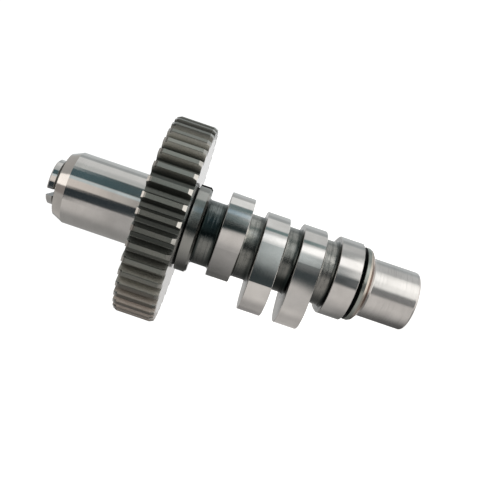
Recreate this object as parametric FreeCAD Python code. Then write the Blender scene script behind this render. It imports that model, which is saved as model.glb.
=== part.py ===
import FreeCAD, Part
import math
import os
from FreeCAD import Vector, Placement, Rotation

# Camshaft with a pressed-on drive gear. Millimetres, +Z up along the shaft.
# Origin: centre of the flat face of the plain end, which the shaft stands on.
# An angle phi is measured about the shaft from the -Y direction towards -X.

# ---- plain end journal -------------------------------------------------
plain_r = 10.32             # 20.64 mm journal
plain_end_round = 0.85      # rounded rim of the end face
foot_z = 15.86              # where the journal turns up into the shoulder
shoulder_r0, shoulder_z0 = 10.46, 16.145    # steep ground cone
shoulder_r1, shoulder_z1 = 12.6, 17.8
line_w, line_depth = 0.2, 0.1  # fine groove where the grinding stops
bevel_z1 = 18.69            # shallow bevel up to the thrust ring
thrust_r = 13.0             # thrust ring
thrust_edge = 0.12
thrust_z1 = 19.86

# ---- lobes -------------------------------------------------------------
base_r = 13.8               # base circle
nose_top = 21.6             # greatest radius at the nose
nose_r = 11.2               # radius of the nose arc
flank_r = 50.0              # radius of the flank arcs
lobe_w = 7.96
lobe_edge = 0.13            # broken edges
lobe_centre = [65.36, 51.66, 38.5, 25.32]       # lobes 1 to 4, from the gear
lobe_phi = [-25.0, 70.0, 80.4, 175.0]
neck_r = 11.35
neck_fillet = 0.9

# ---- collar against the gear -------------------------------------------
collar_r = 15.3
collar_z0, collar_z1 = 75.97, 80.85
collar_cham_low = 0.72      # bevel on the lobe side
collar_groove_z0 = 80.32    # narrow groove against the gear
collar_groove_r = 13.9
collar_edge = 0.12
key_phi = -79.5
key_w = 4.76
key_h = 3.2
key_len = 9.5
key_seat_depth = 1.6

# ---- gear seat and cover journal ---------------------------------------
seat_r = 13.1
gear_z0, gear_z1 = 80.85, 94.85
seat_z1 = 94.85
cover_r = 12.70             # 25.40 mm journal
cover_relief_r = 12.45
cover_relief_z = 96.2
lead_z0 = 121.6             # long lead-in bevel
face_r = 11.14
face_z = 125.2
face_round = 0.16

# ---- slotted stub on the end -------------------------------------------
stub_neck_r = 6.9
stub_neck_z1 = 126.6
stub_r = 7.9
stub_z1 = 128.85
stub_cham = 0.4
slot_phi = 8.3              # direction of the slot across the stub
slot_off0, slot_off1 = 1.77, 4.2    # its two walls, measured from the axis

# ---- centre-drilled ends -----------------------------------------------
centre_r = 2.4
centre_small_r = 1.5
pilot_r = 0.8
pilot_small_r = 0.6
pilot_len = 2.2

# ---- gear --------------------------------------------------------------
teeth = 42
module = 25.4 / 16.0
pressure = math.radians(14.5)
pitch_r = teeth * module / 2.0
tip_r = pitch_r + module
root_r = pitch_r - 1.25 * module
root_fillet = 0.55
tooth_phi = 0.72            # centre of the first tooth
tip_cham_z = 1.3
tip_cham_r = 0.6
bore_cham = 0.5
mark_r = 1.0                # timing dimple on the cover side
mark_at = 27.5
mark_depth = 0.6


def direction(phi_deg):
    p = math.radians(phi_deg)
    return Vector(-math.sin(p), -math.cos(p), 0)


def revolve(points):
    """Solid of revolution about Z from (r, z) points, or arcs given as
    ('arc', (r_mid, z_mid), (r_end, z_end))."""
    edges = []
    last = None
    first = None
    for item in points:
        if item[0] == "arc":
            m, e = item[1], item[2]
            a = Vector(last[0], 0, last[1])
            b = Vector(m[0], 0, m[1])
            c = Vector(e[0], 0, e[1])
            edges.append(Part.Arc(a, b, c).toShape())
            last = e
        else:
            if last is not None:
                edges.append(Part.LineSegment(Vector(last[0], 0, last[1]),
                                              Vector(item[0], 0, item[1])).toShape())
            else:
                first = item
            last = item
    edges.append(Part.LineSegment(Vector(last[0], 0, last[1]),
                                  Vector(first[0], 0, first[1])).toShape())
    face = Part.Face(Part.Wire(edges))
    solid = face.revolve(Vector(0, 0, 0), Vector(0, 0, 1), 360)
    if solid.Volume < 0:
        solid.reverse()
    return solid


def lobe(phi, zc):
    """One cam: base circle, two flank arcs and a nose arc, drawn by tangency."""
    c = nose_top - nose_r
    a = flank_r - base_r
    b = flank_r - nose_r
    g = math.acos((a * a + c * c - b * b) / (2.0 * a * c))
    beta = 180.0 - math.degrees(g)
    n_c = direction(phi) * c
    f_p = direction(phi + beta) * (-a)
    f_m = direction(phi - beta) * (-a)
    t_bp = direction(phi + beta) * base_r
    t_bm = direction(phi - beta) * base_r

    def meet(f):
        u = n_c - f
        u.normalize()
        return f + u * flank_r

    def on_flank(f, p, q):
        m = (p + q) * 0.5 - f
        m.normalize()
        return f + m * flank_r

    t_np = meet(f_p)
    t_nm = meet(f_m)
    tip = direction(phi) * nose_top
    back = direction(phi + 180.0) * base_r
    wire = Part.Wire([
        Part.Arc(t_bp, back, t_bm).toShape(),
        Part.Arc(t_bm, on_flank(f_m, t_bm, t_nm), t_nm).toShape(),
        Part.Arc(t_nm, tip, t_np).toShape(),
        Part.Arc(t_np, on_flank(f_p, t_np, t_bp), t_bp).toShape(),
    ])
    wire.translate(Vector(0, 0, zc - lobe_w / 2.0))
    body = Part.Face(wire).extrude(Vector(0, 0, lobe_w))
    rims = [e for e in body.Edges
            if abs(e.BoundBox.ZMax - e.BoundBox.ZMin) < 1e-6]
    return body.makeChamfer(lobe_edge, rims)


def across(phi, width, r0, r1, z0, z1):
    """Block across the shaft, pointing along phi, from radius r0 to r1."""
    blk = Part.makeBox(r1 - r0, width, z1 - z0, Vector(r0, -width / 2.0, z0))
    d = direction(phi)
    blk.Placement = Placement(Vector(0, 0, 0),
                              Rotation(Vector(0, 0, 1), math.degrees(math.atan2(d.y, d.x))))
    return blk


def centre_hole(z, up, r_big, r_small, r_pilot):
    """60 degree centre with a short pilot; up is +1 when it is cut from below."""
    depth = (r_big - r_small) / math.tan(math.radians(30))
    base = Vector(0, 0, z)
    cone = Part.makeCone(r_big, r_small, depth, base, Vector(0, 0, up))
    pilot = Part.makeCylinder(r_pilot, pilot_len + depth, base, Vector(0, 0, up))
    return cone.fuse(pilot)


# ------------------------------------------------------------------ shaft
half = lobe_w / 2.0
s = math.sqrt(0.5)
prof = [(0, 0), (plain_r - plain_end_round, 0),
        ("arc", (plain_r - plain_end_round * (1 - s), plain_end_round * (1 - s)),
         (plain_r, plain_end_round)),
        (plain_r, foot_z),
        ("arc", (plain_r + 0.037, foot_z + 0.159), (shoulder_r0, shoulder_z0)),
        (shoulder_r1, shoulder_z1), (shoulder_r1 - line_depth, shoulder_z1 + 0.06),
        (shoulder_r1 - line_depth + 0.04, shoulder_z1 + line_w),
        (shoulder_r1 + 0.11, shoulder_z1 + line_w + 0.05),
        (thrust_r, bevel_z1), (thrust_r, thrust_z1 - thrust_edge),
        (thrust_r - thrust_edge, thrust_z1), (neck_r, thrust_z1)]
for zc in reversed(lobe_centre):
    z0, z1 = zc - half, zc + half
    gap = z0 - prof[-1][1] if prof[-1][0] != "arc" else z0 - prof[-1][2][1]
    if gap > 2.5 * neck_fillet:
        prof.append((neck_r, z0 - neck_fillet))
        prof.append(("arc", (neck_r + neck_fillet * (1 - s), z0 - neck_fillet * (1 - s)),
                     (neck_r + neck_fillet, z0)))
    else:
        prof.append((neck_r, z0))
    prof.append((neck_r + neck_fillet, z0 + 0.5))
    prof.append((neck_r + neck_fillet, z1))
    prof.append(("arc", (neck_r + neck_fillet * (1 - s), z1 + neck_fillet * (1 - s)),
                 (neck_r, z1 + neck_fillet)))
f = neck_fillet
prof += [(neck_r, collar_z0 - f),
         ("arc", (neck_r + f * (1 - s), collar_z0 - f * (1 - s)), (neck_r + f, collar_z0)),
         (collar_r - collar_cham_low, collar_z0),
         (collar_r, collar_z0 + collar_cham_low),
         (collar_r, collar_groove_z0 - collar_edge),
         (collar_r - collar_edge, collar_groove_z0),
         (collar_groove_r, collar_groove_z0), (collar_groove_r, collar_z1),
         (seat_r, collar_z1), (seat_r, seat_z1), (cover_relief_r, seat_z1),
         (cover_relief_r, cover_relief_z - 0.25), (cover_r, cover_relief_z),
         (cover_r, lead_z0), (face_r, face_z - face_round),
         ("arc", (face_r - face_round * 0.25, face_z - face_round * 0.22),
          (face_r - face_round, face_z)),
         (stub_neck_r, face_z), (stub_neck_r, stub_neck_z1 - 0.1),
         (stub_r - 0.1, stub_neck_z1), (stub_r, stub_neck_z1 + 0.1),
         (stub_r, stub_z1 - stub_cham), (stub_r - stub_cham, stub_z1), (0, stub_z1)]
shaft = revolve(prof)
for ang, zc in zip(lobe_phi, lobe_centre):
    shaft = shaft.fuse(lobe(ang, zc))
shaft = shaft.removeSplitter()

# Offset slot across the stub.
wid = slot_off1 - slot_off0
slot = Part.makeBox(60, wid, 10, Vector(-30, slot_off0, face_z))
d = direction(slot_phi)
slot.Placement = Placement(Vector(0, 0, 0),
                           Rotation(Vector(0, 0, 1), math.degrees(math.atan2(d.y, d.x))))
n = direction(slot_phi + 90.0)
if slot.CenterOfMass.dot(n) < 0:
    slot = Part.makeBox(60, wid, 10, Vector(-30, -slot_off1, face_z))
    slot.Placement = Placement(Vector(0, 0, 0),
                               Rotation(Vector(0, 0, 1), math.degrees(math.atan2(d.y, d.x))))
shaft = shaft.cut(slot)

# Keyseat in the gear seat, run out through the collar.
key_r0 = seat_r - key_seat_depth
key_z1 = gear_z1 - 2.4
key_z0 = key_z1 - key_len
shaft = shaft.cut(across(key_phi, key_w, key_r0, collar_r + 3, collar_z0 - 0.01, key_z1))

shaft = shaft.cut(centre_hole(0, 1, centre_r, centre_small_r, pilot_r))
shaft = shaft.cut(centre_hole(stub_z1, -1, centre_small_r + 0.3, pilot_r + 0.1, pilot_small_r))
shaft = shaft.removeSplitter()

# ------------------------------------------------------------------- gear
rb = pitch_r * math.cos(pressure)
inv0 = math.tan(pressure) - pressure
half_b = math.pi / (2 * teeth) + inv0


def inv_point(r, side, centre):
    """Point on the involute flank at radius r; side is +1 or -1."""
    al = math.acos(min(1.0, rb / r))
    ang = half_b - (math.tan(al) - al)
    a = centre + side * ang
    return Vector(r * math.cos(a), r * math.sin(a), 0)


def polar(r, a):
    return Vector(r * math.cos(a), r * math.sin(a), 0)


edges = []
pitch = 2 * math.pi / teeth
steps = [rb + (tip_r - rb) * k / 6.0 for k in range(7)]
d0 = direction(tooth_phi)
a_first = math.atan2(d0.y, d0.x)
for k in range(teeth):
    c = a_first + k * pitch
    low = [inv_point(r, -1, c) for r in steps]
    high = [inv_point(r, +1, c) for r in reversed(steps)]
    rf = root_r + root_fillet
    da = root_fillet / root_r
    p0 = polar(root_r, c - half_b - da)
    p1 = polar(rf, c - half_b)
    cen = polar(rf, c - half_b - root_fillet / rf)
    q = (p0 + p1) * 0.5 - cen
    q.normalize()
    edges.append(Part.Arc(p0, cen + q * root_fillet, p1).toShape())
    edges.append(Part.LineSegment(p1, low[0]).toShape())
    sp = Part.BSplineCurve()
    sp.interpolate(low)
    edges.append(sp.toShape())
    edges.append(Part.Arc(low[-1], polar(tip_r, c), high[0]).toShape())
    sp = Part.BSplineCurve()
    sp.interpolate(high)
    edges.append(sp.toShape())
    p2 = polar(rf, c + half_b)
    p3 = polar(root_r, c + half_b + da)
    edges.append(Part.LineSegment(high[-1], p2).toShape())
    cen = polar(rf, c + half_b + root_fillet / rf)
    q = (p2 + p3) * 0.5 - cen
    q.normalize()
    edges.append(Part.Arc(p2, cen + q * root_fillet, p3).toShape())
    nxt = polar(root_r, c + pitch - half_b - da)
    mid = polar(root_r, c + pitch / 2.0)
    edges.append(Part.Arc(p3, mid, nxt).toShape())
outline = Part.Wire(edges)
outline.translate(Vector(0, 0, gear_z0))
gear = Part.Face(outline).extrude(Vector(0, 0, gear_z1 - gear_z0))
blank = revolve([(0, gear_z0), (tip_r - tip_cham_r, gear_z0),
                 (tip_r + 0.02, gear_z0 + tip_cham_z), (tip_r + 0.02, gear_z1 - tip_cham_z),
                 (tip_r - tip_cham_r, gear_z1), (0, gear_z1)])
gear = gear.common(blank)
bore = revolve([(0, gear_z0 - 1), (seat_r, gear_z0 - 1), (seat_r, gear_z1 - bore_cham),
                (seat_r + bore_cham, gear_z1), (seat_r + bore_cham, gear_z1 + 1),
                (0, gear_z1 + 1)])
gear = gear.cut(bore)
key_r1 = key_r0 + key_h
gear = gear.cut(across(key_phi, key_w, seat_r - 2, key_r1, gear_z0 - 1, gear_z1 + 1))
md = direction(tooth_phi + 360.0 / teeth * 5)
gear = gear.cut(Part.makeCone(0.15, mark_r, mark_depth,
                              md * mark_at + Vector(0, 0, gear_z1 - mark_depth),
                              Vector(0, 0, 1)))

# -------------------------------------------------------------------- key
key = across(key_phi, key_w, key_r0, key_r1, key_z0, key_z1)
key_up = [e for e in key.Edges if abs(e.Length - key_len) < 1e-6]
key = key.makeChamfer(0.15, key_up)

# Solids only, checked before they are written.
os.makedirs("parts", exist_ok=True)
for name, shape in (("camshaft", shaft), ("drive_gear", gear), ("gear_key", key)):
    solids = shape.Solids
    assert len(solids) == 1, (name, len(solids))
    one = solids[0]
    assert one.isValid(), name
    one.exportStep("parts/%s.step" % name)
    bb = one.BoundBox
    print(name, "volume %.1f mm3" % one.Volume,
          "x %.2f..%.2f y %.2f..%.2f z %.2f..%.2f"
          % (bb.XMin, bb.XMax, bb.YMin, bb.YMax, bb.ZMin, bb.ZMax))
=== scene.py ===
import bpy
import math
from mathutils import Matrix, Vector

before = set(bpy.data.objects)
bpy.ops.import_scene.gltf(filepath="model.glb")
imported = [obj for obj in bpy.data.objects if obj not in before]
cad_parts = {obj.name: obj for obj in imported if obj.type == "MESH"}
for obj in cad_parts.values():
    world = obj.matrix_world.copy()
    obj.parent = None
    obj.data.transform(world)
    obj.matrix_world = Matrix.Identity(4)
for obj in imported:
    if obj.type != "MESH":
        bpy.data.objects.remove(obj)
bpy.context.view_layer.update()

MM = 0.001
scene = bpy.context.scene
scene.view_settings.view_transform = "Standard"
scene.view_settings.look = "None"
scene.view_settings.exposure = 0.0
scene.view_settings.gamma = 1.0


# ------------------------------------------------------------ node helpers
class Net:
    """A small layer over a node tree, so that sums read as sums."""

    def __init__(self, tree):
        self.t = tree
        self.x = -1800

    def node(self, kind, **props):
        n = self.t.nodes.new(kind)
        for k, v in props.items():
            setattr(n, k, v)
        n.location = (self.x, 0)
        self.x += 24
        return n

    def put(self, sock, value):
        if isinstance(value, bpy.types.NodeSocket):
            self.t.links.new(value, sock)
        elif value is not None:
            sock.default_value = value

    def m(self, op, a, b=None, c=None, clamp=False):
        n = self.node("ShaderNodeMath", operation=op, use_clamp=clamp)
        for i, v in enumerate((a, b, c)):
            if v is not None:
                self.put(n.inputs[i], v)
        return n.outputs[0]

    def add(self, a, b):
        return self.m("ADD", a, b)

    def sub(self, a, b):
        return self.m("SUBTRACT", a, b)

    def mul(self, a, b):
        return self.m("MULTIPLY", a, b)

    def step(self, v, lo, hi):
        """0 below lo, 1 above hi, smooth between."""
        n = self.node("ShaderNodeMapRange", interpolation_type="SMOOTHSTEP", clamp=True)
        self.put(n.inputs["Value"], v)
        self.put(n.inputs["From Min"], lo)
        self.put(n.inputs["From Max"], hi)
        return n.outputs["Result"]

    def lin(self, v, lo, hi, to0=0.0, to1=1.0):
        n = self.node("ShaderNodeMapRange", clamp=True)
        self.put(n.inputs["Value"], v)
        self.put(n.inputs["From Min"], lo)
        self.put(n.inputs["From Max"], hi)
        self.put(n.inputs["To Min"], to0)
        self.put(n.inputs["To Max"], to1)
        return n.outputs["Result"]

    def between(self, v, lo, hi, soft):
        return self.mul(self.step(v, lo - soft, lo + soft),
                        self.sub(1.0, self.step(v, hi - soft, hi + soft)))

    def mix(self, f, a, b, mode="MIX"):
        n = self.node("ShaderNodeMix", data_type="RGBA", blend_type=mode, clamp_factor=True)
        self.put(n.inputs[0], f)
        for s, v in ((n.inputs[6], a), (n.inputs[7], b)):
            if isinstance(v, (tuple, list)) and len(v) == 3:
                v = (*v, 1.0)
            self.put(s, v)
        return n.outputs[2]

    def mixf(self, f, a, b):
        n = self.node("ShaderNodeMix", data_type="FLOAT", clamp_factor=True)
        self.put(n.inputs[0], f)
        self.put(n.inputs[2], a)
        self.put(n.inputs[3], b)
        return n.outputs[0]

    def noise(self, vec, scale, detail=4.0, rough=0.55, dist=0.0):
        n = self.node("ShaderNodeTexNoise")
        self.put(n.inputs["Vector"], vec)
        self.put(n.inputs["Scale"], scale)
        self.put(n.inputs["Detail"], detail)
        self.put(n.inputs["Roughness"], rough)
        self.put(n.inputs["Distortion"], dist)
        return n.outputs["Fac"]

    def vec(self, x, y, z):
        n = self.node("ShaderNodeCombineXYZ")
        for i, v in enumerate((x, y, z)):
            self.put(n.inputs[i], v)
        return n.outputs[0]

    def xyz(self, v):
        n = self.node("ShaderNodeSeparateXYZ")
        self.put(n.inputs[0], v)
        return n.outputs[0], n.outputs[1], n.outputs[2]

    def bump(self, height, dist, strength=1.0, normal=None):
        n = self.node("ShaderNodeBump")
        self.put(n.inputs["Height"], height)
        n.inputs["Distance"].default_value = dist
        n.inputs["Strength"].default_value = strength
        if normal is not None:
            self.put(n.inputs["Normal"], normal)
        return n.outputs[0]


def material(name):
    mat = bpy.data.materials.new(name)
    mat.use_nodes = True
    mat.node_tree.nodes.clear()
    net = Net(mat.node_tree)
    out = net.node("ShaderNodeOutputMaterial")
    bsdf = net.node("ShaderNodeBsdfPrincipled")
    mat.node_tree.links.new(bsdf.outputs[0], out.inputs[0])
    co = net.node("ShaderNodeTexCoord")
    scale = net.node("ShaderNodeVectorMath", operation="SCALE")
    net.put(scale.inputs[0], co.outputs["Object"])
    scale.inputs["Scale"].default_value = 1000.0
    p = scale.outputs[0]
    x, y, z = net.xyz(p)
    r = net.m("SQRT", net.add(net.mul(x, x), net.mul(y, y)))
    nx, ny, nz = net.xyz(co.outputs["Normal"])
    return mat, net, bsdf, p, (x, y, z), r, nz


def direction(phi_deg):
    """Unit direction at phi about the shaft, from -Y towards -X."""
    a = math.radians(phi_deg)
    return -math.sin(a), -math.cos(a)


def lathe_coords(net, p, along, around):
    """Stretched coordinates: fine along the shaft, long round it."""
    x, y, z = net.xyz(p)
    return net.vec(net.mul(x, around), net.mul(y, around), net.mul(z, along))


# ------------------------------------------------------------ shaft material
def shaft_material():
    mat, n, b, p, (x, y, z), r, nz = material("ground_shaft_steel")
    side = n.step(n.m("ABSOLUTE", nz), 0.72, 0.9)
    half = 7.96 / 2
    lobes = None
    for zc in (65.36, 51.66, 38.5, 25.32):
        w = n.between(z, zc - half - 0.02, zc + half + 0.02, 0.03)
        lobes = w if lobes is None else n.add(lobes, w)
    lobes = n.mul(lobes, n.step(r, 13.2, 13.5))
    lobe_od = n.mul(lobes, n.sub(1.0, side))
    plain = n.mul(n.sub(1.0, n.step(z, 16.87, 16.97)), n.step(r, 9.2, 9.4))
    line = n.mul(n.between(z, 16.92, 17.82, 0.05), n.step(r, 10.0, 10.5))
    bevel = n.between(z, 17.82, 18.69, 0.02)
    thrust = n.mul(n.between(z, 18.69, 19.88, 0.01), n.step(r, 12.2, 12.6))
    cover = n.mul(n.step(z, 96.0, 96.2), n.sub(1.0, n.step(z, 121.58, 121.62)))
    lead = n.between(z, 121.6, 125.1, 0.02)
    nose = n.mul(n.step(z, 126.5, 126.6), n.step(r, 7.0, 7.2))
    collar = n.mul(n.between(z, 75.9, 80.32, 0.02), n.step(r, 12.5, 12.7))
    groove = n.mul(n.between(z, 80.3, 80.9, 0.01), n.step(r, 12.9, 13.2))
    ends = n.mul(side, n.add(n.sub(1.0, n.step(z, 0.3, 0.5)), n.step(z, 124.8, 125.0)))
    # milled walls: the key slot through the collar and the slot across the stub
    kx, ky = direction(-79.5)
    along_k = n.add(n.mul(x, kx), n.mul(y, ky))
    across_k = n.m("ABSOLUTE", n.add(n.mul(x, -ky), n.mul(y, kx)))
    keyway = n.mul(n.mul(n.step(along_k, 10.0, 11.0), n.sub(1.0, n.step(across_k, 2.39, 2.41))),
                   n.between(z, 70.0, 93.0, 0.02))
    sx, sy = direction(98.3)
    off = n.add(n.mul(x, sx), n.mul(y, sy))
    slot = n.mul(n.between(off, 1.75, 4.22, 0.012), n.step(z, 125.3, 125.5))

    fine = n.noise(lathe_coords(n, p, 24.0, 0.30), 1.0, 3.0, 0.6)
    mid = n.noise(lathe_coords(n, p, 5.0, 0.10), 1.0, 3.0, 0.55)
    cloud = n.noise(p, 0.14, 3.0, 0.5)
    grain = n.noise(p, 5.5, 4.0, 0.6)
    rings = n.noise(lathe_coords(n, p, 1.5, 0.06), 1.0, 4.0, 0.6)
    pits = n.noise(p, 0.9, 4.0, 0.6)
    turn = n.mul(n.m("ARCTAN2", n.mul(x, -1.0), n.mul(y, -1.0)), 180.0 / math.pi)

    ground = n.add(n.add(lobe_od, plain), n.add(cover, n.add(lead, nose)))
    ground = n.m("MINIMUM", ground, 1.0)

    # as-turned necks: ring marks, pits and dark patches, with painted shade towards the bottom and in the
    # corners, a painted shadow on the first neck and a painted highlight on the second
    low = n.mul(x, -1.0)
    dark = n.mix(n.between(z, 29.0, 35.0, 0.5), (0.265, 0.268, 0.252), (0.37, 0.365, 0.345))
    dark = n.mix(n.between(z, 55.5, 61.5, 0.5), dark, (0.335, 0.338, 0.318))
    first = n.between(z, 69.0, 76.2, 0.5)
    dark = n.mix(first, dark, n.mix(n.step(low, 0.5, 3.5), (0.17, 0.187, 0.184), (0.215, 0.22, 0.21)))
    # painted shade: the necks (the first only slightly) darken towards the bottom, where the lobe noses
    # shade them
    dark = n.mix(n.mul(n.step(low, -1.5, 4.0), n.mixf(first, 0.36, 0.02)), dark, (0.0, 0.0, 0.0))
    dark = n.mix(n.mul(n.step(rings, 0.46, 0.66), n.mixf(first, 0.42, 0.62)), dark, (0.05, 0.062, 0.062))
    dark = n.mix(n.mul(n.step(pits, 0.5, 0.75), 0.5), dark, (0.09, 0.095, 0.09))
    streak = n.noise(lathe_coords(n, p, 3.6, 0.09), 1.0, 3.0, 0.6)
    upper = n.mul(first, n.sub(1.0, n.step(turn, -14.0, 2.0)))
    dark = n.mix(n.mul(upper, n.mul(n.step(streak, 0.47, 0.6), 0.72)), dark, (0.035, 0.05, 0.05))
    # painted shadow: a near-black patch where lobe 1's nose and the collar shade the first neck
    ragged = n.add(turn, n.mul(n.sub(rings, 0.5), 85.0))
    painted_recess_shade = n.mul(n.step(ragged, -42.0, -20.0), n.sub(1.0, n.step(n.add(turn, n.mul(n.sub(pits, 0.5), 20.0)), 0.0, 15.0)))
    dark = n.mix(n.mul(n.mul(first, painted_recess_shade), 0.93), dark, (0.013, 0.025, 0.027))
    second = n.between(z, 55.5, 61.5, 0.5)
    ragged = n.add(turn, n.mul(n.sub(pits, 0.5), 34.0))
    dark = n.mix(n.mul(n.mul(second, n.between(ragged, -18.0, 4.0, 8.0)), 0.68), dark, (0.055, 0.065, 0.062))
    # painted highlight: a pale patch on the second neck beside lobe 1, standing in for a reflection
    painted_highlight_patch = n.mul(n.between(z, 58.7, 61.6, 0.9), n.between(ragged, -33.0, -12.0, 8.0))
    dark = n.mix(n.mul(painted_highlight_patch, 0.45), dark, (0.60, 0.575, 0.52))
    # painted shade: the bottoms of the necks darken further
    dark = n.mix(n.mul(n.step(low, 5.5, 10.5), n.mixf(first, 0.8, 0.55)), dark, (0.035, 0.04, 0.04))
    fourth = n.mul(n.between(z, 29.0, 35.0, 0.5), n.between(ragged, -19.0, -5.0, 6.0))
    dark = n.mix(n.mul(fourth, 0.5), dark, (0.06, 0.07, 0.07))
    # painted shade: the bottom of the third neck, between the lobe noses, is painted near black
    under_nose_shade = n.mul(n.between(z, 41.0, 48.5, 0.8), n.step(low, 3.8, 7.2))
    dark = n.mix(n.mul(under_nose_shade, 0.9), dark, (0.012, 0.016, 0.015))
    # painted shade in the corners where the necks meet the lobes and the collar
    corner_shade = n.between(z, 74.9, 76.2, 0.5)
    for zc, reach, deep in ((65.36, 1.3, 1.0), (51.66, 1.8, 0.82), (38.5, 1.5, 1.0), (25.32, 0.9, 1.0)):
        corner_shade = n.add(corner_shade, n.mul(n.between(z, zc + half - 0.5, zc + half + reach, 0.5), deep))
    dark = n.mix(n.mul(corner_shade, 0.82), dark, (0.018, 0.026, 0.025))
    # painted shade: the narrow groove between the last lobe and the thrust ring is painted near black
    gap = n.between(z, 19.84, 21.5, 0.02)
    dark = n.mix(gap, dark, (0.008, 0.012, 0.011))

    bright = n.mix(n.lin(cloud, 0.35, 0.65), (0.585, 0.572, 0.558), (0.665, 0.652, 0.638))
    bright = n.mix(n.mul(n.lin(fine, 0.3, 0.75), 0.2), bright, (0.50, 0.48, 0.46))
    bright = n.mix(n.mul(plain, n.mul(n.step(mid, 0.48, 0.72), 0.4)), bright, (0.42, 0.41, 0.40))
    bright = n.mix(n.mul(cover, n.mul(n.step(mid, 0.45, 0.7), 0.22)), bright, (0.50, 0.485, 0.465))
    satin = n.mix(n.lin(cloud, 0.3, 0.7), (0.27, 0.275, 0.264), (0.335, 0.335, 0.318))
    satin = n.mix(n.mul(n.step(low, 7.5, 14.5), 0.55), satin, (0.11, 0.112, 0.108))
    warm = n.mix(n.lin(mid, 0.3, 0.7), (0.50, 0.455, 0.405), (0.60, 0.55, 0.49))
    # painted shade: a brown shadow line at the foot of the cone, paler further round the shaft
    brown_foot_shade = n.mix(n.lin(mid, 0.3, 0.7), (0.16, 0.092, 0.068), (0.28, 0.185, 0.14))
    brown_foot_shade = n.mix(n.mul(n.step(n.m("ABSOLUTE", turn), 18.0, 60.0), 0.85), brown_foot_shade, (0.50, 0.45, 0.405))
    face = n.mix(n.lin(grain, 0.3, 0.7), (0.30, 0.30, 0.29), (0.42, 0.42, 0.405))
    ring_n = n.noise(n.vec(n.mul(r, 3.0), 0.0, 0.0), 1.0, 3.0, 0.6)
    turned = n.mix(ring_n, (0.40, 0.39, 0.38), (0.58, 0.565, 0.55))

    col = n.mix(ground, dark, bright)
    col = n.mix(n.mul(lobes, side), col, face)
    col = n.mix(collar, col, satin)
    col = n.mix(thrust, col, (0.33, 0.35, 0.325))
    col = n.mix(bevel, col, warm)
    col = n.mix(line, col, brown_foot_shade)
    col = n.mix(ends, col, turned)
    # painted shade on the walls of the key slot through the collar
    col = n.mix(n.mul(keyway, collar), col, (0.05, 0.055, 0.055))
    # painted shade in the narrow groove between the collar and the gear
    col = n.mix(groove, col, (0.012, 0.016, 0.016))
    # painted shade on the thrust ring's face inside the gap
    col = n.mix(n.mul(side, n.between(z, 19.7, 20.0, 0.02)), col, (0.02, 0.026, 0.025))
    # painted shade in the slot across the stub
    col = n.mix(slot, col, (0.04, 0.048, 0.048))
    # painted shade at the root of the stub, against the end face
    stub_root_shade = n.mul(n.between(z, 125.25, 125.85, 0.15), n.sub(1.0, n.step(r, 8.2, 8.4)))
    col = n.mix(n.mul(stub_root_shade, 0.92), col, (0.03, 0.04, 0.04))
    n.put(b.inputs["Base Color"], col)
    b.inputs["Metallic"].default_value = 1.0

    rg = n.lin(fine, 0.3, 0.7, 0.085, 0.13)
    rd = n.lin(pits, 0.3, 0.7, 0.2, 0.29)
    ro = n.mixf(ground, rd, rg)
    ro = n.mixf(plain, ro, n.lin(fine, 0.3, 0.7, 0.19, 0.26))
    ro = n.mixf(n.mul(lobes, side), ro, 0.36)
    ro = n.mixf(collar, ro, n.lin(fine, 0.3, 0.7, 0.13, 0.17))
    ro = n.mixf(n.m("MINIMUM", n.add(thrust, bevel), 1.0), ro, 0.26)
    ro = n.mixf(ends, ro, 0.3)
    ro = n.mixf(n.mul(n.between(z, 16.0, 16.92, 0.1), n.step(r, 10.36, 10.46)), ro, 0.24)
    ro = n.mixf(n.m("MINIMUM", n.add(gap, groove), 1.0), ro, 0.6)
    n.put(b.inputs["Roughness"], ro)
    b.inputs["Anisotropic"].default_value = 0.6
    b.inputs["Anisotropic Rotation"].default_value = 0.25
    tan = n.node("ShaderNodeTangent", direction_type="RADIAL", axis="Z")
    n.put(b.inputs["Tangent"], tan.outputs[0])

    smooth = n.m("MINIMUM", n.add(ground, n.add(collar, n.add(thrust, bevel))), 1.0)
    rough_h = n.add(n.mul(rings, 0.012), n.mul(pits, 0.018))
    hgt = n.add(n.mul(n.mul(fine, 0.0009), smooth), n.mul(rough_h, n.sub(1.0, smooth)))
    n.put(b.inputs["Normal"], n.bump(n.mul(hgt, 0.001), 1.0))
    return mat


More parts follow.
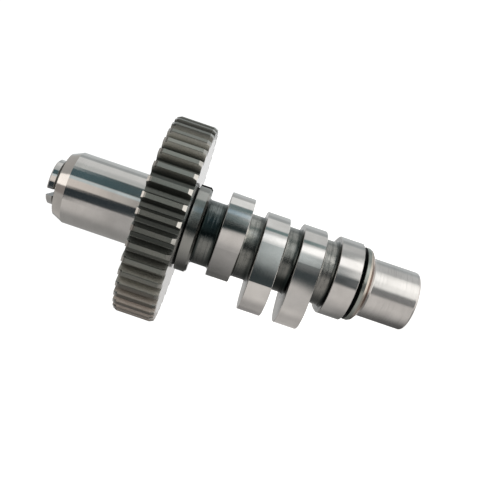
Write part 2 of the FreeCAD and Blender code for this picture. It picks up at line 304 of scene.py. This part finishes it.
# ------------------------------------------------------------- gear material
def gear_material():
    mat, n, b, p, (x, y, z), r, nz = material("dark_gear_steel")
    side = n.step(n.m("ABSOLUTE", nz), 0.75, 0.92)
    cut = n.noise(lathe_coords(n, p, 0.35, 3.2), 1.0, 3.0, 0.6)
    grain = n.noise(p, 2.4, 5.0, 0.62)
    cloud = n.noise(p, 0.16, 2.0, 0.5)
    ring_n = n.noise(n.vec(n.mul(r, 2.2), 0.0, 0.0), 1.0, 4.0, 0.6)
    land = n.step(r, 34.4, 34.8)
    root = n.sub(1.0, n.step(r, n.lin(x, 6.0, 12.0, 31.4, 31.7), n.lin(x, 6.0, 12.0, 32.5, 33.6)))
    away = n.step(n.m("ABSOLUTE", x), 8.0, 21.0)
    nx = n.xyz(n.node("ShaderNodeTexCoord").outputs["Normal"])[0]
    # painted light and shade: flanks facing +x take the lighter lit copy, flanks facing -x the darker one
    flank = n.mix(n.lin(grain, 0.3, 0.7), (0.085, 0.090, 0.083), (0.125, 0.130, 0.120))
    lit = n.mix(n.lin(grain, 0.3, 0.7), (0.195, 0.203, 0.189), (0.265, 0.273, 0.252))
    flank = n.mix(n.step(nx, -0.2, 0.2), flank, lit)
    # painted light and shade: flanks far from x = 0 are painted much lighter, the flanks at high +x dark and
    # those at low -x warm and light
    flank = n.mix(away, flank, n.mix(n.lin(grain, 0.3, 0.7), (0.44, 0.435, 0.40), (0.58, 0.57, 0.525)))
    flank = n.mix(n.mul(n.step(x, 27.0, 30.5), 0.88), flank, (0.045, 0.048, 0.045))
    flank = n.mix(n.mul(n.sub(1.0, n.step(x, -28.0, -21.0)), 0.85), flank, (0.23, 0.208, 0.185))
    flank = n.mix(n.mul(n.sub(1.0, n.step(x, -28.0, -23.5)), 0.9), flank, (0.56, 0.505, 0.46))
    # painted shade down in the tooth roots, stronger at -x and +x
    deep = n.mixf(n.step(x, 6.0, 12.0), n.mixf(n.step(x, -26.0, -21.0), 0.05, 0.5), 0.8)
    flank = n.mix(n.mul(root, deep), flank, (0.10, 0.112, 0.105))
    top = n.mix(n.lin(grain, 0.3, 0.7), (0.18, 0.185, 0.168), (0.255, 0.26, 0.238))
    top = n.mix(n.mul(n.lin(cloud, 0.35, 0.65), 0.5), top, (0.185, 0.205, 0.19))
    # painted light and shade: the lands get darker and lighter bands by height along x
    top = n.mix(n.mul(n.step(n.mul(x, -1.0), 16.0, 28.0), 0.85), top, (0.150, 0.132, 0.115))
    top = n.mix(n.mul(n.step(n.mul(x, -1.0), 29.0, 33.0), 0.85), top, (0.36, 0.325, 0.30))
    top = n.mix(n.mul(n.between(x, 11.0, 25.0, 3.0), 0.75), top, (0.33, 0.335, 0.305))
    top = n.mix(n.mul(n.step(x, 26.0, 31.0), 0.6), top, (0.19, 0.195, 0.18))
    col = n.mix(land, flank, top)
    face = n.mix(ring_n, (0.42, 0.415, 0.405), (0.56, 0.555, 0.54))
    col = n.mix(side, col, face)
    rim = n.step(r, 34.12, 34.22)
    near = n.mul(rim, n.sub(1.0, n.step(z, 82.0, 82.15)))
    far = n.mul(rim, n.step(z, 93.55, 93.7))
    glint = n.mixf(n.step(n.mul(x, -1.0), 1.5, 8.5), 0.9, 0.4)
    col = n.mix(n.mul(near, glint), col, (0.60, 0.59, 0.56))
    col = n.mix(n.mul(far, 0.9), col, (0.20, 0.20, 0.19))
    col = n.mix(n.mul(far, n.step(z, 94.1, 94.3)), col, (0.50, 0.49, 0.47))
    bevel = n.m("MAXIMUM", near, far)
    n.put(b.inputs["Base Color"], col)
    b.inputs["Metallic"].default_value = 1.0
    ro = n.mixf(land, n.lin(grain, 0.3, 0.7, 0.38, 0.5), 0.38)
    ro = n.mixf(side, ro, n.lin(ring_n, 0.3, 0.7, 0.13, 0.19))
    ro = n.mixf(bevel, ro, 0.24)
    n.put(b.inputs["Roughness"], ro)
    hgt = n.add(n.mul(cut, 0.010), n.mul(grain, 0.012))
    hgt = n.mul(hgt, n.sub(1.0, n.mul(side, 0.85)))
    n.put(b.inputs["Normal"], n.bump(n.mul(hgt, 0.001), 1.0))
    return mat


def key_material():
    mat, n, b, p, (x, y, z), r, nz = material("drawn_key_steel")
    grain = n.noise(lathe_coords(n, p, 0.4, 6.0), 1.0, 3.0, 0.6)
    n.put(b.inputs["Base Color"], n.mix(grain, (0.34, 0.34, 0.34), (0.46, 0.46, 0.46)))
    b.inputs["Metallic"].default_value = 1.0
    n.put(b.inputs["Roughness"], n.lin(grain, 0.3, 0.7, 0.3, 0.42))
    n.put(b.inputs["Normal"], n.bump(n.mul(grain, 0.000006), 1.0))
    return mat


def give(obj, mat):
    obj.data.materials.clear()
    obj.data.materials.append(mat)


give(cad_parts["camshaft"], shaft_material())
give(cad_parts["drive_gear"], gear_material())
give(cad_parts["gear_key"], key_material())


# ------------------------------------------------------------------- floor
def stage_plane():
    me = bpy.data.meshes.new("floor")
    h = 3.0
    me.from_pydata([(-h, -h, 0), (h, -h, 0), (h, h, 0), (-h, h, 0)], [], [(0, 1, 2, 3)])
    ob = bpy.data.objects.new("floor", me)
    scene.collection.objects.link(ob)
    mat = bpy.data.materials.new("pale_floor")
    mat.use_nodes = True
    bs = mat.node_tree.nodes["Principled BSDF"]
    bs.inputs["Base Color"].default_value = (0.86, 0.86, 0.86, 1)
    bs.inputs["Roughness"].default_value = 0.9
    bs.inputs["Specular IOR Level"].default_value = 0.1
    bs.inputs["Emission Color"].default_value = (1, 1, 1, 1)
    bs.inputs["Emission Strength"].default_value = 0.8
    me.materials.append(mat)
    ob.visible_glossy = False
    ob.visible_shadow = False
    return ob


stage_plane()


# ------------------------------------------------------------ studio surround
def surround():
    """A pale tent round the object, with soft light panels and dark gaps.
    ang runs round the shaft: 0 is the photographer, negative is above in the
    picture. rise is how steeply a direction leaves the horizontal."""
    w = bpy.data.worlds.new("studio")
    scene.world = w
    w.use_nodes = True
    w.node_tree.nodes.clear()
    n = Net(w.node_tree)
    out = n.node("ShaderNodeOutputWorld")
    co = n.node("ShaderNodeTexCoord")
    x, y, z = n.xyz(co.outputs["Generated"])
    ang = n.mul(n.m("ARCTAN2", n.mul(x, -1.0), n.mul(y, -1.0)), 180.0 / math.pi)
    flat = n.m("SQRT", n.add(n.mul(x, x), n.mul(y, y)))
    rise = n.m("DIVIDE", z, n.m("MAXIMUM", flat, 0.02))

    def edge(v, at, soft):
        if isinstance(at, (int, float)):
            return n.step(v, at - soft, at + soft)
        return n.step(v, n.sub(at, soft), n.add(at, soft))

    def card(col, zone, a0, s0, a1, s1, tone):
        """A panel from angle a0 to a1, with soft edges s0 and s1 wide."""
        f = zone
        if a0 is not None:
            f = n.mul(f, edge(ang, a0, s0))
        if a1 is not None:
            f = n.mul(f, n.sub(1.0, edge(ang, a1, s1)))
        return n.mix(f, col, tone)

    every = n.step(rise, -1000.0, -999.0)
    stub_end = n.step(rise, 0.088, 0.1)                     # level with the cover journal
    middle = n.mul(n.step(rise, -0.066, -0.056), n.sub(1.0, stub_end))
    plain_end = n.sub(1.0, n.step(rise, -0.245, -0.228))    # level with the plain journal
    last = n.mul(n.step(rise, -0.236, -0.228), n.sub(1.0, n.step(rise, -0.19, -0.175)))
    third = n.mul(n.step(rise, -0.185, -0.17), n.sub(1.0, n.step(rise, -0.13, -0.115)))
    twins = n.mul(n.step(rise, -0.19, -0.17), n.sub(1.0, n.step(rise, -0.066, -0.056)))
    far = n.step(rise, 0.14, 0.21)

    # pale tent, cooler above and warmer below, falling off towards the table
    col = n.mix(edge(ang, -130.0, 3.0), (0.63, 0.66, 0.665), (0.47, 0.50, 0.505))
    wall = n.mix(n.lin(rise, -0.25, -0.09), (0.62, 0.63, 0.625), (0.86, 0.87, 0.86))
    col = card(col, middle, -130.0, 3.0, -114.0, 3.0, (0.58, 0.60, 0.60))
    col = card(col, every, -114.0, 3.0, None, 0, wall)
    col = card(col, middle, -114.0, 3.0, None, 0, (1.12, 1.14, 1.13))
    col = card(col, every, -20.0, 2.0, None, 0, (0.775, 0.745, 0.715))
    col = card(col, twins, 10.0, 8.0, None, 0, (0.89, 0.855, 0.82))
    col = card(col, every, 82.0, 27.0, None, 0, (0.40, 0.39, 0.38))
    col = card(col, middle, 62.0, 24.0, None, 0, (0.48, 0.468, 0.455))
    col = card(col, middle, 96.0, 18.0, None, 0, (0.25, 0.245, 0.24))
    col = card(col, every, 122.0, 18.0, None, 0, (0.20, 0.20, 0.195))
    col = card(col, twins, 84.0, 26.0, None, 0, n.mix(third, (0.50, 0.485, 0.47), (0.62, 0.60, 0.58)))
    col = card(col, n.mul(twins, n.sub(1.0, third)), 122.0, 10.0, None, 0, (0.36, 0.35, 0.345))
    col = card(col, third, 18.0, 6.0, 60.0, 25.0, (0.55, 0.535, 0.52))
    col = card(col, middle, 112.0, 14.0, None, 0, (0.13, 0.13, 0.125))
    col = card(col, plain_end, 106.0, 22.0, None, 0, (0.10, 0.10, 0.098))

    # level with the lobes: thin gap, long white panel, dim wall, the camera's gap
    col = card(col, twins, n.sub(-75.5, n.mul(third, 1.5)), 2.0, -65.0, 2.5, (0.20, 0.285, 0.285))
    col = card(col, last, -88.0, 6.0, -63.0, 3.0, (0.48, 0.50, 0.50))
    start = n.lin(rise, -0.2, -0.1, -61.5, -53.8)
    end = n.sub(-33.0, n.mul(third, 3.5))
    col = card(col, every, start, 5.5, end, 7.0, (1.60, 1.60, 1.58))
    dim = n.mix(third, (0.63, 0.69, 0.69), (0.80, 0.87, 0.87))
    dim = n.mix(n.lin(rise, -0.19, -0.165), (0.24, 0.265, 0.27), dim)
    col = card(col, every, end, 7.0, -3.0, 3.0, dim)
    dim = n.mix(third, (0.34, 0.375, 0.375), (0.42, 0.46, 0.46))
    dim = n.mix(n.lin(rise, -0.19, -0.165), (0.11, 0.125, 0.13), dim)
    col = card(col, every, -13.0, 9.0, -3.0, 3.0, dim)
    upper = n.sub(n.lin(rise, -0.2, -0.16, -6.0, -2.5), n.lin(rise, -0.14, -0.1, 0.0, 5.0))
    lower = n.lin(rise, -0.2, -0.09, 18.0, 8.5)
    lower = n.sub(lower, n.mul(third, 1.8))
    shade = n.mix(n.step(rise, -0.13, -0.1), (0.052, 0.066, 0.070), (0.038, 0.050, 0.053))
    col = card(col, every, upper, 4.5, lower, 5.5, shade)

    # level with the plain journal the panel is wider and the gap is fainter
    col = card(col, plain_end, -75.0, 7.0, -11.0, 6.0, (1.66, 1.63, 1.58))
    col = card(col, plain_end, -4.5, 4.0, 11.0, 4.0, (0.31, 0.31, 0.315))

    # level with the first lobe and the collar the photographer stands in the light
    side = n.lin(rise, -0.035, 0.03, 7.5, 20.0)
    collar = n.lin(rise, -0.01, 0.02)
    cloth = n.mix(collar, (0.14, 0.20, 0.21), (0.46, 0.54, 0.54))
    col = card(col, middle, -80.0, 2.0, side, 7.0, cloth)
    col = card(col, middle, -57.0, 3.5, -41.0, 6.0, (0.33, 0.465, 0.54))
    cloth = n.mix(collar, (0.14, 0.19, 0.195), (0.15, 0.19, 0.195))
    col = card(col, middle, -41.0, 6.0, side, 7.0, cloth)
    cloth = n.mix(collar, (0.095, 0.13, 0.13), (0.03, 0.045, 0.05))
    col = card(col, middle, -27.0, 4.0, side, 7.0, cloth)
    col = card(col, middle, -17.5, 3.0, side, 7.0, (0.014, 0.024, 0.025))

    # level with the cover journal: dark cloth, pale card, dark gap
    col = card(col, stub_end, -86.0, 7.0, -60.0, 3.0, (0.68, 0.70, 0.69))
    cloth0 = n.lin(rise, 0.228, 0.24, -67.5, -58.0)
    cloth = n.mix(n.lin(rise, 0.132, 0.172), (0.036, 0.060, 0.064), (0.086, 0.145, 0.162))
    col = card(col, stub_end, cloth0, 2.0, -32.5, 3.0, cloth)
    card_tone = n.mix(far, (0.52, 0.505, 0.475), (0.98, 0.90, 0.83))
    gap0 = n.lin(rise, 0.228, 0.24, -0.5, 6.0)
    gap1 = n.lin(rise, 0.228, 0.24, 32.0, 44.0)
    col = card(col, stub_end, -32.5, 3.0, gap0, 3.0, card_tone)
    col = card(col, stub_end, -32.5, 3.0, -24.0, 3.0, (0.72, 0.82, 0.84))
    col = card(col, stub_end, gap0, 3.0, gap1, 5.0, (0.036, 0.046, 0.053))
    low_tone = n.mix(far, (0.43, 0.42, 0.41), (0.775, 0.745, 0.715))
    col = card(col, stub_end, gap1, 5.0, 85.0, 27.0, low_tone)
    col = card(col, stub_end, 85.0, 27.0, None, 0, (0.37, 0.365, 0.355))

    # white paper straight behind
    col = card(col, every, 167.0, 4.0, None, 0, (0.76, 0.75, 0.74))
    col = card(col, every, None, 0, -167.0, 4.0, (0.93, 0.93, 0.93))

    # overhead: one lamp box in a dim ceiling
    up = n.step(rise, 0.42, 0.58)
    col = n.mix(up, col, (0.54, 0.525, 0.505))
    col = card(col, up, -110.0, 14.0, None, 0, (0.52, 0.50, 0.475))
    col = card(col, up, -80.0, 20.0, -52.0, 5.0, (0.47, 0.455, 0.435))
    col = card(col, up, -50.0, 4.0, 7.0, 4.0, (1.55, 1.45, 1.36))
    col = card(col, up, 7.0, 4.0, 48.0, 8.0, (0.34, 0.305, 0.285))
    col = n.mix(n.step(rise, 3.0, 6.0), col, (0.80, 0.80, 0.79))

    # from the table's side: white near the camera and behind, dim elsewhere
    down = n.sub(1.0, n.step(rise, -0.75, -0.6))
    col = n.mix(down, col, (0.34, 0.33, 0.32))
    col = card(col, down, None, 0, -84.0, 10.0, (0.80, 0.79, 0.78))
    col = card(col, down, -84.0, 10.0, 30.0, 12.0, (1.35, 1.30, 1.25))
    col = card(col, down, 140.0, 8.0, None, 0, (0.76, 0.74, 0.72))
    col = card(col, down, None, 0, -140.0, 8.0, (1.25, 1.23, 1.20))
    slit = n.mul(down, n.mul(n.step(y, -0.05, 0.05), n.between(x, -0.07, 0.03, 0.03)))
    col = n.mix(slit, col, (0.44, 0.45, 0.45))
    col = n.mix(n.sub(1.0, n.step(rise, -20.0, -12.0)), col, (0.6, 0.6, 0.59))

    tent = n.node("ShaderNodeBackground")
    n.put(tent.inputs["Color"], col)
    tent.inputs["Strength"].default_value = 1.0
    paper = n.node("ShaderNodeBackground")
    paper.inputs["Color"].default_value = (1, 1, 1, 1)
    paper.inputs["Strength"].default_value = 1.1
    ray = n.node("ShaderNodeLightPath")
    pick = n.node("ShaderNodeMixShader")
    n.put(pick.inputs[0], ray.outputs["Is Camera Ray"])
    n.put(pick.inputs[1], tent.outputs[0])
    n.put(pick.inputs[2], paper.outputs[0])
    n.put(out.inputs[0], pick.outputs[0])


surround()

# ------------------------------------------------------------------ camera
PX = 2.9                      # photo pixels to a millimetre at the shaft
DIST = 650.0 / PX * MM
CAM_Z = 207.1 / PX * MM
ROLL = math.radians(18.80)
cam_data = bpy.data.cameras.new("camera")
cam_data.sensor_width = 36.0
cam_data.lens = 650.0 / 480.0 * 36.0
cam_data.clip_start = 0.01
cam_data.clip_end = 20.0
cam_data.shift_x = (240.0 - 212.22) / 480.0
cam_data.shift_y = (234.69 - 240.0) / 480.0
cam = bpy.data.objects.new("camera", cam_data)
scene.collection.objects.link(cam)
right = Vector((math.sin(ROLL), 0, -math.cos(ROLL)))
up = Vector((math.cos(ROLL), 0, math.sin(ROLL)))
back = Vector((0, -1, 0))
cam.matrix_world = Matrix((
    (right.x, up.x, back.x, 0.0),
    (right.y, up.y, back.y, -DIST),
    (right.z, up.z, back.z, CAM_Z),
    (0, 0, 0, 1)))
scene.camera = cam
